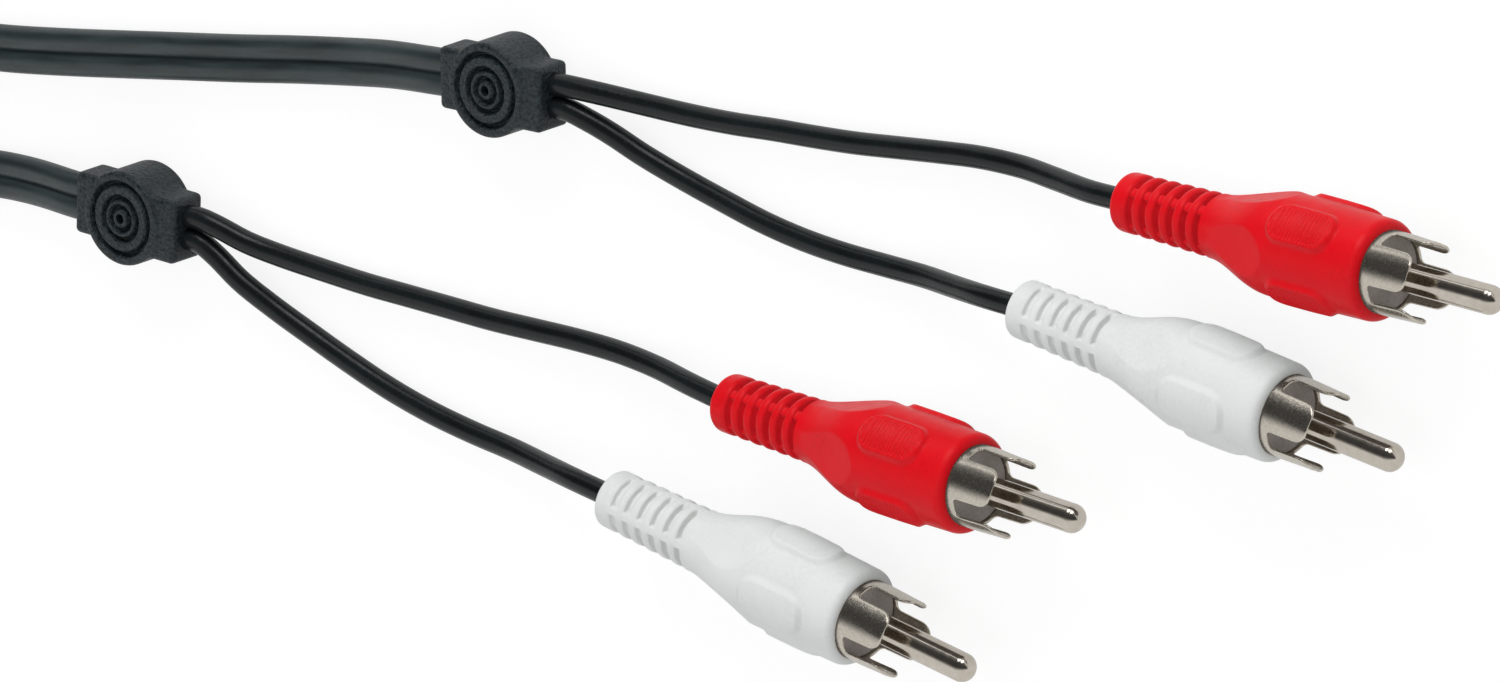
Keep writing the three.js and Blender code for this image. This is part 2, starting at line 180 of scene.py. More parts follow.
def mouldedPvc(name, colour, deeper, roughness, sheen):
    # Soft PVC from a spark-eroded mould: satin, a shade uneven, with a fine orange-peel grain. The light
    # that it throws on its neighbours is a neutral grey, and so is its mirror image in the metal, because
    # the photograph shows no tint on them
    material, tree = newMaterial(name)
    _, blotch = grainedSurface(tree, 5.0, 0.0, 1.0)
    fine, speckle = grainedSurface(tree, 0.42, 0.0, 1.0)
    _, rough = grainedSurface(tree, 1.4, roughness - 0.04, roughness + 0.05)
    base = mixedColour(tree, blotch, colour, deeper)
    lighter = mixedColour(tree, speckle, base, colour)
    rays = addNode(tree, "ShaderNodeLightPath")
    mirrored = mixedColour(tree, rays.outputs["Is Glossy Ray"], lighter, "#6e6664")
    thrown = mixedColour(tree, rays.outputs["Is Diffuse Ray"], mirrored, "#d8d8d7")
    return finished(material, {"Base Color": thrown, "Roughness": rough, "IOR": 1.53,
                               "Specular IOR Level": sheen, "Normal": bumped(tree, fine, 0.014)})


def platedNickel(name, colour, duller, roughness, mottle, depth):
    # Bright nickel over formed brass: warm grey, mirror-like, with faint mottling and drawing marks
    material, tree = newMaterial(name)
    _, share = grainedSurface(tree, mottle, 0.0, 1.0, 4.0)
    fine, rough = grainedSurface(tree, mottle * 0.6, roughness * 0.7, roughness * 1.5, 3.0)
    return finished(material, {"Base Color": mixedColour(tree, share, colour, duller), "Metallic": 1.0,
                               "Roughness": rough, "Normal": bumped(tree, fine, depth)})


def greyPolyamide(name):
    # Moulded grey insulator: matt and dry, a little chalky
    material, tree = newMaterial(name)
    fine, share = grainedSurface(tree, 0.3, 0.0, 1.0)
    return finished(material, {"Base Color": mixedColour(tree, share, "#bdb6b2", "#a9a29e"),
                               "Roughness": 0.62, "IOR": 1.53, "Normal": bumped(tree, fine, 0.01)})


def extrudedPvc(name, colour, lighter, roughness, streak, sheen):
    # Jacket drawn through a die: glossy black, with faint lines along it. The piece's UV map holds the
    # share of the way round and the millimetres along
    material, tree = newMaterial(name)
    uv = addNode(tree, "ShaderNodeTexCoord").outputs["UV"]
    drawn = addNode(tree, "ShaderNodeMapping", {"Vector": uv, "Scale": (streak, 0.12, 1.0)})
    lines = addNode(tree, "ShaderNodeTexNoise",
                    {"Vector": drawn.outputs["Vector"], "Scale": 1.0, "Detail": 3.0})
    fine, rough = grainedSurface(tree, 0.5, roughness - 0.05, roughness + 0.07)
    share = addNode(tree, "ShaderNodeMapRange", {"Value": lines.outputs["Fac"], "From Min": 0.35,
                                                 "From Max": 0.7}).outputs["Result"]
    normal = bumped(tree, fine, 0.006, bumped(tree, lines.outputs["Fac"], 0.03))
    return finished(material, {"Base Color": mixedColour(tree, share, colour, lighter), "Roughness": rough,
                               "IOR": 1.54, "Specular IOR Level": sheen, "Normal": normal})


def grainedPvc(name):
    # Black PVC from a mould with a sand-like grain of 0.3 to 0.4 mm: matt, with tiny lights
    material, tree = newMaterial(name)
    place = addNode(tree, "ShaderNodeTexCoord").outputs["Object"]
    grain = addNode(tree, "ShaderNodeTexVoronoi", {"Vector": place, "Scale": 1000 / 0.3}, feature="F1")
    fine, share = grainedSurface(tree, 0.42, 0.0, 1.0, 3.0)
    normal = bumped(tree, fine, 0.14, bumped(tree, grain.outputs["Distance"], 0.07))
    return finished(material, {"Base Color": mixedColour(tree, share, "#030607", "#29353a"),
                               "Roughness": 0.46, "IOR": 1.53, "Specular IOR Level": 0.4,
                               "Normal": normal})


def coatedPaper(name):
    # A twist tie's plastic-coated paper: dark, flat, with a faint weave of fibres
    material, tree = newMaterial(name)
    fine, share = grainedSurface(tree, 0.6, 0.0, 1.0, 4.0)
    return finished(material, {"Base Color": mixedColour(tree, share, "#1f2223", "#303436"),
                               "Roughness": 0.68, "Normal": bumped(tree, fine, 0.03)})


leadPvc = extrudedPvc("extruded black PVC", "#0e1314", "#181e20", 0.24, 9.0, 0.3)
twinPvc = extrudedPvc("extruded black PVC of the twin lead", "#1f2829", "#2f3a3c", 0.36, 16.0, 0.5)
redPvc = mouldedPvc("moulded red PVC", "#e20215", "#d60112", 0.38, 0.18)
whitePvc = mouldedPvc("moulded white PVC", "#e6e8e7", "#dde0df", 0.45, 0.3)
pinNickel = platedNickel("nickel plate of the pin", "#d6cec3", "#c8c0b4", 0.13, 1.2, 0.002)
petalNickel = platedNickel("nickel plate of the shell", "#d6cfc3", "#c8c1b5", 0.2, 0.35, 0.0022)
insulatorPlastic = greyPolyamide("grey polyamide")
splitterPvc = grainedPvc("grained black PVC")
tiePaper = coatedPaper("coated paper tie")
print("materials made")


# Cords. A lead's route runs from the splitter to its plug's boot, in millimetres, and is the same as its
# solid's.
# The photograph is matched best with the splitters and the leads' ends a little beside their solids, so the
# routes move across the table by these shifts.
splitterShift = {"upper": (0.39, 0.2), "lower": (-0.88, -0.13)}
plugEndShift = {"upper_red": (-0.71, -0.11), "upper_white": (-0.37, 0.11), "lower_red": (0.26, 0.04),
                "lower_white": (0.25, -0.1)}
lead = {"radius": 1.25, "sides": 32, "step": 0.9, "intoSplitter": 0.8, "intoBoot": 3.0}
leadRoutes = {
    "upper_red_lead": [
        (-35.2, 18.2, 3.25), (-33.5, 18.35, 3.2), (-28.7, 18.4, 2.4), (-23.8, 18.4, 1.6),
        (-18.0, 18.7, 1.3), (-12.1, 19.3, 1.3), (-6.3, 20.1, 1.3), (-0.5, 20.8, 1.3), (5.3, 21.6, 1.3),
        (11.1, 22.6, 1.3), (16.9, 23.6, 1.3), (22.7, 24.5, 1.3), (28.6, 25.0, 1.5), (34.3, 25.4, 2.7),
        (40.1, 25.9, 4.2), (45.4, 26.4, 4.8),
    ],
    "upper_white_lead": [
        (-35.0, 15.6, 3.25), (-33.8, 15.7, 3.2), (-31.2, 15.1, 2.8), (-28.3, 14.2, 2.3),
        (-24.1, 12.7, 1.7), (-18.5, 11.3, 1.3), (-12.8, 10.3, 1.3), (-7.1, 9.4, 1.3), (-1.4, 8.9, 1.3),
        (4.4, 8.8, 1.3), (10.2, 9.0, 1.3), (16.1, 9.5, 2.0), (21.7, 10.2, 3.7), (27.3, 11.0, 5.5),
        (32.7, 11.4, 6.15),
    ],
    "lower_red_lead": [
        (-84.5, -9.6, 3.25), (-83.1, -9.55, 3.2), (-80.8, -10.0, 2.9), (-77.6, -10.9, 2.3),
        (-73.2, -11.5, 1.6), (-67.4, -11.7, 1.3), (-61.5, -11.7, 1.3), (-55.7, -11.5, 1.3),
        (-49.8, -11.3, 1.3), (-43.9, -11.1, 1.3), (-38.1, -10.7, 1.3), (-32.2, -10.3, 1.3),
        (-26.4, -10.1, 1.4), (-20.5, -10.1, 2.1), (-14.7, -10.2, 3.4), (-9.1, -10.5, 4.05),
    ],
    "lower_white_lead": [
        (-84.4, -12.2, 3.25), (-83.3, -12.2, 3.2), (-81.2, -13.3, 2.9), (-78.2, -15.4, 2.4),
        (-74.3, -17.4, 1.7), (-68.9, -19.4, 1.3), (-63.3, -21.1, 1.3), (-57.7, -22.6, 1.3),
        (-52.0, -23.7, 1.3), (-46.2, -24.4, 1.3), (-40.4, -24.7, 1.6), (-34.8, -24.6, 3.0),
        (-29.0, -24.3, 4.8), (-23.3, -24.5, 5.55),
    ],
}
# The twin lead runs from each splitter to the coil: through listed points as far as the coil's approach,
# then by arcs.
twin = {
    "lobeHalfWidth": 1.42, "lobeHalfHeight": 1.3, "lobeSpacing": 2.46, "lobeSides": 25, "step": 1.1,
    "intoSplitter": 0.8,
    "upper": [
        (-49.7, 15.7, 3.25), (-52.7, 15.3, 3.25), (-59.2, 14.1, 2.3), (-65.7, 12.6, 1.6),
        (-73.6, 10.8, 1.4), (-81.6, 8.9, 1.4), (-89.6, 7.1, 1.4), (-97.5, 5.3, 1.4), (-105.5, 3.5, 1.4),
    ],
    "lower": [
        (-99.0, -11.3, 3.25), (-101.5, -11.4, 3.25), (-107.7, -11.9, 2.3), (-112.6, -12.5, 1.7),
        (-117.4, -13.2, 1.5),
    ],
}
coil = {
    "centre": (-170.4, -5.4), "outerTurn": 36.0, "innerTurn": 16.56, "approach": 24.0,
    "angleIn": 30.7, "angleOut": -32.4, "turnsIn": 3.6, "turnsOut": 3.225, "turnsUp": 0.15,
    "turnsDown": 0.1, "lastDrop": 0.35, "lowLayer": 1.75, "highLayer": 4.4, "sweepIn": 72.0,
    "sweepOut": 44.0, "heightIn": 1.4, "heightOut": 1.5, "pointsPerTurn": 40,
}


def ease(t):
    t = np.clip(t, 0, 1)
    return t * t * (3 - 2 * t)


def evenly(points, step):
    # The same line with its points at an even step along it
    reach = np.concatenate([[0], np.cumsum(np.linalg.norm(np.diff(points, axis=0), axis=1))])
    wanted = np.linspace(0, reach[-1], max(2, round(reach[-1] / step)) + 1)
    return np.stack([np.interp(wanted, reach, points[:, k]) for k in range(3)], axis=1)


def smoothPath(points, step):
    # Centripetal Catmull-Rom spline: knots are spaced by the square root of each chord, and every stretch
    # blends three straight ones over its four nearest points
    p = np.asarray(points, float)
    p = np.vstack([2 * p[0] - p[1], p, 2 * p[-1] - p[-2]])
    knots = np.concatenate([[0], np.cumsum(np.sqrt(np.linalg.norm(np.diff(p, axis=0), axis=1)))])
    count = len(p) - 3
    k0, k1, k2, k3 = (knots[i:i + count, None, None] for i in range(4))
    p0, p1, p2, p3 = (p[i:i + count, None, :] for i in range(4))
    t = k1 + (k2 - k1) * np.linspace(0, 1, 16, endpoint=False)[None, :, None]
    a = ((k1 - t) * p0 + (t - k0) * p1) / (k1 - k0)
    b = ((k2 - t) * p1 + (t - k1) * p2) / (k2 - k1)
    c = ((k3 - t) * p2 + (t - k2) * p3) / (k3 - k2)
    d = ((k2 - t) * a + (t - k0) * b) / (k2 - k0)
    e = ((k3 - t) * b + (t - k1) * c) / (k3 - k1)
    curve = (((k2 - t) * d + (t - k1) * e) / (k2 - k1)).reshape(-1, 3)
    return evenly(np.vstack([curve, p[-2]]), step)


def lengthened(points, before, after):
    # The route goes on straight past both of its ends, into what holds it there
    p = np.asarray(points, float)
    return np.vstack([p[0] + unit(p[0] - p[1]) * before, p, p[-1] + unit(p[-1] - p[-2]) * after])


def carried(points, startShift, endShift):
    # The route moves across the table with what holds its two ends; an eased share blends the two shifts
    p = np.array(points, float)
    share = ease(np.linspace(0, 1, len(p)))[:, None]
    p[:, :2] += np.array(startShift) * (1 - share) + np.array(endShift) * share
    return p


def swept(path, section):
    # A section of (side, up) points is carried along the path; side stays level. Poles close both ends
    along = unit(np.gradient(path, axis=0))
    side = unit(np.cross([0, 0, 1], along))
    up = np.cross(along, side)
    grid = path[:, None] + section[None, :, :1] * side[:, None] + section[None, :, 1:] * up[:, None]
    ends = [np.repeat(path[k][None, None], len(section), axis=1) for k in (0, -1)]
    return np.concatenate([ends[0], grid, ends[1]])


def roundSection(radius, sides):
    angle = np.linspace(0, 2 * np.pi, sides, endpoint=False)
    return np.stack([radius * np.cos(angle), radius * np.sin(angle)], axis=1)


def twinSection():
    # Two oval lobes whose arcs meet at the middle in a sharp groove
    wide, high, apart = twin["lobeHalfWidth"], twin["lobeHalfHeight"], twin["lobeSpacing"] / 2
    meet = math.acos(apart / wide)
    angle = np.linspace(-np.pi + meet, np.pi - meet, twin["lobeSides"])[:-1]
    right = np.stack([apart + wide * np.cos(angle), high * np.sin(angle)], axis=1)
    return np.vstack([right, -right])


def arcPoints(centre, radius, fromDegrees, toDegrees, fromHeight, toHeight, count=12):
    # Part of a circle seen from above, whose height eases from one value to the other
    t = np.linspace(0, 1, count)
    angle = np.radians(fromDegrees + (toDegrees - fromDegrees) * t)
    height = fromHeight + (toHeight - fromHeight) * ease(t)
    x, y = centre
    return np.stack([x + radius * np.cos(angle), y + radius * np.sin(angle), height], axis=1)


def coilTurns():
    # Radius falls evenly over the low layer's turns and grows evenly over the high layer's
    c = coil
    total = c["turnsIn"] + c["turnsOut"]
    turn = np.linspace(0, total, round(total * c["pointsPerTurn"]))
    inward = 1 - turn / c["turnsIn"]
    outward = (turn - c["turnsIn"]) / c["turnsOut"]
    share = np.where(turn < c["turnsIn"], inward, outward)
    radius = c["innerTurn"] + (c["outerTurn"] - c["innerTurn"]) * share
    rise = ease((turn - c["turnsIn"] + c["turnsUp"]) / c["turnsUp"])
    height = c["lowLayer"] + (c["highLayer"] - c["lowLayer"]) * rise
    height -= c["lastDrop"] * ease((turn - total + c["turnsDown"]) / c["turnsDown"])
    angle = np.radians(c["angleIn"]) + 2 * np.pi * turn
    x, y = c["centre"]
    return np.stack([x + radius * np.cos(angle), y + radius * np.sin(angle), height], axis=1)


def twinPath():
    # Splitter, table, arc on to the coil, its turns, arc off it, table, splitter
    c = coil
    turns = coilTurns()
    middle = np.array(c["centre"])
    arcs = []
    for angle, sweep in ((c["angleIn"], c["sweepIn"]), (c["angleOut"], -c["sweepOut"])):
        direction = np.array([math.cos(math.radians(angle)), math.sin(math.radians(angle))])
        centre = middle + (c["outerTurn"] + c["approach"]) * direction
        arcs.append((centre, angle + 180, sweep))
    (centreIn, touchIn, sweepIn), (centreOut, touchOut, sweepOut) = arcs
    onTo = arcPoints(centreIn, c["approach"], touchIn + sweepIn, touchIn, c["heightIn"], turns[0, 2])
    off = arcPoints(centreOut, c["approach"], touchOut, touchOut + sweepOut, turns[-1, 2], c["heightOut"])
    routes = (carried(twin[side], splitterShift[side], (0, 0)) for side in ("upper", "lower"))
    upper, lower = (lengthened(route, twin["intoSplitter"], 0)[:-1] for route in routes)
    return smoothPath(np.vstack([upper, onTo[:-1], turns, off[1:], lower[::-1]]), twin["step"])


def pathLength(path):
    return float(np.linalg.norm(np.diff(path, axis=0), axis=1).sum())


def dress(made, slot, *nodes):
    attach(made, "root")
    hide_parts(*nodes)


leads = {}
for name, route in leadRoutes.items():
    plug = name.replace("_lead", "")
    route = carried(route, splitterShift[name.split("_")[0]], plugEndShift[plug])
    path = smoothPath(lengthened(route, lead["intoSplitter"], lead["intoBoot"]), lead["step"])
    jacket = swept(path, roundSection(lead["radius"], lead["sides"]))
    made = meshFromGrids(f"{name}_jacket", [(jacket, False)], leadPvc)
    dress(made, "lead_pvc", name)
    leads[name] = {"object": made, "path": path, "plug": plug}
    print(name, "length in mm", round(pathLength(path), 1))

twinRoute = twinPath()
twinLead = meshFromGrids("twin_lead_jacket", [(swept(twinRoute, twinSection()), False)], twinPvc)
dress(twinLead, "twin_pvc", "upper_twin_lead", "lower_twin_lead", "twin_lead_coil")
print("twin lead length in mm", round(pathLength(twinRoute), 1))

# The four plugs. Each lies along its own axis: the middle of the overmould's front face, in millimetres,
# its heading, and how far its nose is raised, in degrees.
plugs = {
    "upper_red": {"colour": "red", "face": (81.26, 28.22, 6.09), "heading": 3.01, "raised": 2.05},
    "upper_white": {"colour": "white", "face": (68.89, 9.12, 6.13), "heading": -3.78, "raised": 0.0},
    "lower_red": {"colour": "red", "face": (27.66, -9.65, 6.43), "heading": 1.26, "raised": 3.73},
    "lower_white": {"colour": "white", "face": (13.37, -28.58, 6.4), "heading": -6.23, "raised": 1.34},
}
plugTurn = {"red": {"body": 45.0, "shell": 27.0}, "white": {"body": -5.0, "shell": 24.0}}
overmould = {
    "length": 36.3, "frontRadius": 5.5, "frontRound": 1.0, "bodyRadius": 5.65, "bodyMiddle": 8.0,
    "neckStart": 13.4, "neckEnd": 23.4, "neckRadius": 3.5, "rearRadius": 3.2, "rearRound": 0.6,
    "facetStart": 13.0, "facetEnd": 22.9, "facetStartRadius": 5.58, "facetEndRadius": 3.34, "facetSag": 0.1,
    "facetBlend": 0.06, "facetFadeIn": 0.3, "facetPast": 0.5, "facetFadeOut": 1.5, "ridge": 1.05,
    "mouthRadius": 4.53, "mouthDepth": 0.3, "mouthEdge": 0.08, "roomRadius": 4.57, "roomDepth": 15.0,
    "boreRadius": 1.34, "boreEdge": 0.2, "boreFlare": 0.15, "rearFaceRing": 2.2,
}
# Rows of points along the body, closest where the pads' ribs are
bodyRows = {"first": 1.15, "ribsFrom": 3.6, "ribsTo": 13.4, "ribStep": 0.08, "gap": 0.1, "beforeSlots": 0.15}
gripPad = {
    "middle": 8.5, "length": 9.4, "width": 5.3, "round": 2.4, "height": 0.5, "edge": 0.75,
    "ribPitch": 0.47, "ribFade": 0.2, "ribHeight": {"red": 0.14, "white": 0.03},
}
bootSlot = {
    "count": 6, "pitch": 1.918, "width": 0.82, "first": 23.5, "slotEnd": 14.0,
}
# The radius at a slot's floor, how high the ribs' crowns are, how wide the spine is, how far the crowns
# level out at it, its own depth, and how far it is turned from the pad's middle
bootLook = {"red": {"floor": 2.35, "crown": 0.42, "spineDegrees": 9.0, "flush": 0.3, "spineDrop": 0.1,
                    "spineTurn": 0.0},
            "white": {"floor": 2.7, "crown": 0.24, "spineDegrees": 6.0, "flush": 0.95, "spineDrop": 0.0,
                      "spineTurn": 7.5}}


def plugMatrix(plug):
    # Columns: along the plug, level across it, and up; the last one is the front face's middle
    heading, raised = math.radians(plug["heading"]), math.radians(plug["raised"])
    turn = Matrix.Rotation(heading, 4, "Z") @ Matrix.Rotation(-raised, 4, "Y")
    return np.array(Matrix.Translation(plug["face"]) @ turn)


def aroundAxis(along, radius, angle):
    # Along the axis, and round it from straight up towards the side
    return np.stack(np.broadcast_arrays(along, radius * np.sin(angle), radius * np.cos(angle)), axis=-1)


def placed(grid, matrix):
    return grid @ matrix[:3, :3].T + matrix[:3, 3]


def bodyProfile(back):
    # The collar swells to the body, half a cosine wave leads down to the neck, and the boot tapers
    o = overmould
    swell = np.interp(back, [0, o["bodyMiddle"]], [o["frontRadius"], o["bodyRadius"]])
    t = np.clip((back - o["neckStart"]) / (o["neckEnd"] - o["neckStart"]), 0, 1)
    taper = np.clip((back - o["neckEnd"]) / (o["length"] - o["neckEnd"]), 0, 1)
    drop = (o["bodyRadius"] - o["neckRadius"]) * (1 - np.cos(np.pi * t)) / 2
    return swell - drop - (o["neckRadius"] - o["rearRadius"]) * taper


def smoothLeast(a, b, blend):
    # The lesser of two values, rounded over where they are closer than the blend
    h = np.clip(0.5 + 0.5 * (b - a) / blend, 0, 1)
    return b + (a - b) * h - blend * h * (1 - h)


def overmouldRadius(back, fromPad, colour):
    # Round body and neck, cut by four flat facets between the pads; fromPad is the angle from a pad's
    # middle, from -45 to 45 degrees
    o = overmould
    share = (back - o["facetStart"]) / (o["facetEnd"] - o["facetStart"])
    bulge = np.sin(np.pi * np.clip(share, 0, 1))
    narrowing = o["facetStartRadius"] - o["facetEndRadius"]
    flat = o["facetStartRadius"] - narrowing * share - o["facetSag"] * bulge
    facet = flat / np.cos(np.pi / 4 - np.abs(fromPad))
    radius = bodyProfile(back)
    cut = smoothLeast(radius * (1 + (o["ridge"] - 1) * bulge), facet, o["facetBlend"])
    fadeIn = ease((back - o["facetStart"] + o["facetFadeIn"]) / o["facetFadeIn"])
    fadeOut = ease((o["facetEnd"] + o["facetPast"] - back) / o["facetFadeOut"])
    return radius + (cut - radius) * (fadeIn * fadeOut) + padHeight(back, fromPad, colour)


def padHeight(back, fromPad, colour):
    # A rounded rectangle's distance gives each pad a soft edge; fine ribs run across its top
    p = gripPad
    x = np.abs(back - p["middle"]) - (p["length"] / 2 - p["round"])
    y = np.abs(fromPad) * overmould["bodyRadius"] - (p["width"] / 2 - p["round"])
    outside = np.hypot(np.maximum(x, 0), np.maximum(y, 0)) + np.minimum(np.maximum(x, y), 0) - p["round"]
    rib = 0.5 - 0.5 * np.cos(2 * np.pi * (back - p["middle"]) / p["ribPitch"])
    ribs = p["ribHeight"][colour] * (rib - 1) * ease((-outside - p["edge"]) / p["ribFade"])
    return p["height"] * ease(-outside / p["edge"]) + ribs


def padAngles():
    # Columns over one pad's quarter, closer at the ends of the slots and at the pad's edges
    half = [1.5, 4.5, 7.5, 10, 11.5, 12.0, 12.2, 13, 14.5, 16, 17.5, 18.7, 19.8, 20.9, 22, 23.1, 24.2,
            25.3, 27, 29, 31.5, 34, 36.5, 39, 41.5, 43.8]
    quarter = np.radians(np.concatenate([-np.array(half[::-1]), half]))
    return quarter, (quarter[None, :] + np.arange(4)[:, None] * np.pi / 2).ravel()


def overmouldGrid(colour):
    # One closed sheet: outer surface, rear face, bore, inner room, front face. The ribs of the boot have a
    # half-round crown; a slot's floor is a shallow bowl that rises to the spine at its ends
    o, b, look = overmould, bootSlot, bootLook[colour]
    quarter, angle = padAngles()
    fromPad = np.tile(quarter, 4)[None, :]
    lip = np.radians([0, 10, 22, 36, 50, 64, 78, 90])
    frontBack, frontIn = o["frontRound"] * (1 - np.cos(lip)), o["frontRound"] * (1 - np.sin(lip))
    m = bodyRows
    body = np.concatenate([np.linspace(m["first"], m["ribsFrom"] - m["gap"], 6),
                           np.arange(m["ribsFrom"], m["ribsTo"], m["ribStep"]),
                           np.linspace(m["ribsTo"] + m["gap"], b["first"] - m["beforeSlots"], 34)])
    rows, inward, opening = [frontBack, body], [frontIn, 0 * body], [0 * frontBack, 0 * body]
    half = (b["pitch"] - b["width"]) / 2
    inSlot = np.array([0, 0.06, 0.2, 0.5, 0.8, 0.94, 1]) * b["width"]
    for k in range(b["count"]):
        front = b["first"] + k * b["pitch"]
        rows.append(front + inSlot)
        inward.append(look["crown"] + 0 * inSlot)
        opening.append(np.array([0, 0.55, 0.9, 1, 0.9, 0.55, 0]))
        if k < b["count"] - 1:
            across = half * np.sin(np.radians([-72, -52, -32, -10, 10, 32, 52, 72]))
            rows.append(front + b["width"] + half + across)
            inward.append(look["crown"] * (1 - np.sqrt(1 - (across / half) ** 2)))
            opening.append(0 * across)
    last = b["first"] + (b["count"] - 1) * b["pitch"] + b["width"]
    soft = np.array([0.04, 0.12, 0.25, 0.42])
    rows.append(last + soft)
    inward.append(look["crown"] * (1 - np.sqrt(1 - (1 - soft / 0.5) ** 2)))
    opening.append(0 * soft)
    tail = np.linspace(last + 0.6, o["length"] - o["rearRound"] - 0.1, 5)
    heel = np.radians([90, 70, 50, 30, 12, 0])
    rows += [tail, o["length"] - o["rearRound"] * (1 - np.cos(heel))]
    inward += [0 * tail, o["rearRound"] * (1 - np.sin(heel))]
    opening += [0 * tail, 0 * heel]
    back = np.concatenate(rows)[:, None]
    inward, opening = np.concatenate(inward)[:, None], np.concatenate(opening)[:, None]
    fromSpine = np.abs(np.degrees(fromPad) - look["spineTurn"])
    toSpine = ease((b["slotEnd"] - fromSpine) / (b["slotEnd"] - look["spineDegrees"]))
    onBoot = (back > b["first"] - 0.1) & (back < last + 0.5)
    outer = overmouldRadius(back, fromPad, colour) - inward * (1 - look["flush"] * toSpine * onBoot)
    floor = look["floor"] + (outer - look["spineDrop"] - look["floor"]) * toSpine
    outer = outer + (floor - outer) * opening
    innerBack = [o["length"], o["length"], o["length"] - o["boreEdge"], o["roomDepth"], o["roomDepth"],
                 o["mouthDepth"], o["mouthEdge"], 0.0]
    innerRadius = [o["rearFaceRing"], o["boreRadius"] + o["boreFlare"], o["boreRadius"], o["boreRadius"],
                   o["roomRadius"], o["roomRadius"], o["mouthRadius"], o["mouthRadius"] + o["mouthEdge"]]
    inner = aroundAxis(-np.array(innerBack)[:, None], np.array(innerRadius)[:, None], angle[None, :])
    return np.concatenate([aroundAxis(-back, outer, angle[None, :]), inner])


contactShell = {
    "radius": 4.5, "wall": 0.35, "rear": 6.0, "root": 0.55, "valley": 1.0, "fillet": 0.5, "petalReach": 6.05,
    "petalWidth": 4.8, "petalRound": 1.5, "lean": 0.12, "crimpFront": 11.5, "crimpLength": 3.0,
    "crimpRadius": 1.3, "crimpWall": 0.35, "tabWidth": 2.4, "tabWall": 0.35, "tabOverlap": 0.35,
}


def petalOutline():
    # Half of one petal from its tip's middle to the valley's middle: the tip's edge, its round corner, the
    # straight side and the fillet at its root; each point has its outward direction
    s = contactShell
    half, r, reach = s["petalWidth"] / 2, s["petalRound"], s["petalReach"]
    valleyEnd = 2 * np.pi * s["radius"] / 8
    corner = np.radians(np.linspace(90, 0, 9))
    fillet = np.radians(np.linspace(180, 270, 6))
    side = np.linspace(reach - r, s["valley"] + s["fillet"], 6)[1:-1]
    across = np.concatenate([
        [half - r - 0.2], half - r + r * np.cos(corner), half + 0 * side,
        half + s["fillet"] + s["fillet"] * np.cos(fillet), [valleyEnd - 0.25]])
    along = np.concatenate([
        [reach], reach - r + r * np.sin(corner), side,
        s["valley"] + s["fillet"] + s["fillet"] * np.sin(fillet), [s["valley"]]])
    outAcross = np.concatenate([[0], np.cos(corner), 1 + 0 * side, -np.cos(fillet), [0]])
    outAlong = np.concatenate([[1], np.sin(corner), 0 * side, -np.sin(fillet), [1]])
    mirror = [values[::-1] for values in (across, along, outAcross, outAlong)]
    return (np.concatenate([-mirror[0], across]), np.concatenate([mirror[1], along]),
            np.concatenate([-mirror[2], outAcross]), np.concatenate([mirror[3], outAlong]))


def contactShellGrids():
    # A band whose front edge follows the petals: outer wall, a half-round rim, inner wall, and a rear edge
    s = contactShell
    across, along, outAcross, outAlong = petalOutline()
    rim = s["wall"] / 2
    middle = s["radius"] - rim
    across, along = across - rim * outAcross, along - rim * outAlong
    count = len(across)
    evenAcross = (np.arange(count) - (count - 1) / 2) * (2 * np.pi * middle / 4 / count)
    across = across * middle / s["radius"]

    def row(rearward, share, outward, level):
        # share 0 is the band's root line and 1 the petals' edge; level is the height within the wall
        a = evenAcross + (across - evenAcross) * share + outAcross * outward
        x = s["root"] + (along - s["root"]) * share + outAlong * outward - rearward
        radius = middle + level - s["lean"] * ease((x - s["valley"]) / (s["petalReach"] - s["valley"]))
        angle = a / middle + np.arange(4)[:, None] * np.pi / 2
        return aroundAxis(np.tile(x, 4), np.tile(radius, 4), angle.ravel())

    shares = [0.12, 0.3, 0.5, 0.68, 0.83, 0.94, 1.0]
    turnOver = np.radians([18, 45, 72, 90, 108, 135, 162])
    band = [s["root"] + s["rear"], 3.0, 1.2, 0]
    rows = [row(r, 0, 0, rim) for r in band]
    rows += [row(0, t, 0, rim) for t in shares]
    rows += [row(0, 1, rim * math.sin(t), rim * math.cos(t)) for t in turnOver]
    rows += [row(0, t, 0, -rim) for t in shares[::-1]]
    rows += [row(r, 0, 0, -rim) for r in band[::-1]]
    angle = np.linspace(0, 2 * np.pi, 40, endpoint=False)[None, :]
    c0, c1 = s["crimpRadius"], s["crimpRadius"] + s["crimpWall"]
    x0, x1 = -s["crimpFront"] - s["crimpLength"], -s["crimpFront"]
    ring = aroundAxis(np.array([x0, x1, x1, x0])[:, None], np.array([c1, c1, c0, c0])[:, None], angle)
    half, top = s["tabWidth"] / 2, s["radius"] - s["tabWall"] / 2
    low = top - s["tabWall"]
    tabStart = -s["rear"] + s["tabOverlap"]
    outerPath = [(tabStart, top), (x1 - s["tabWall"], top), (x1 - s["tabWall"], c1)]
    innerPath = [(tabStart, low), (x1, low), (x1, c1)]
    tab = np.array([[(xo, -half, zo), (xo, half, zo), (xi, half, zi), (xi, -half, zi)]
                    for (xo, zo), (xi, zi) in zip(outerPath, innerPath)], float)
    ends = [np.repeat(tab[k].mean(axis=0)[None, None], 4, axis=1) for k in (0, -1)]
    return [(np.stack(rows), True), (ring, True), (np.concatenate([ends[0], tab, ends[1]]), False)]


def lathe(profile, sides=72):
    # A profile of (along, radius) points turned about the plug's axis
    profile = np.array(profile, float)
    angle = np.linspace(0, 2 * np.pi, sides, endpoint=False)[None, :]
    return aroundAxis(profile[:, :1], profile[:, 1:], angle)


centrePin = {
    "radius": 1.6, "reach": 15.7, "noseLength": 1.5, "shoulder": 4.0, "tailRadius": 1.1, "tailEnd": 9.0,
    "cupRadius": 0.75, "cupDepth": 2.6, "cupEdge": 0.05, "shoulderEdge": 0.1,
}


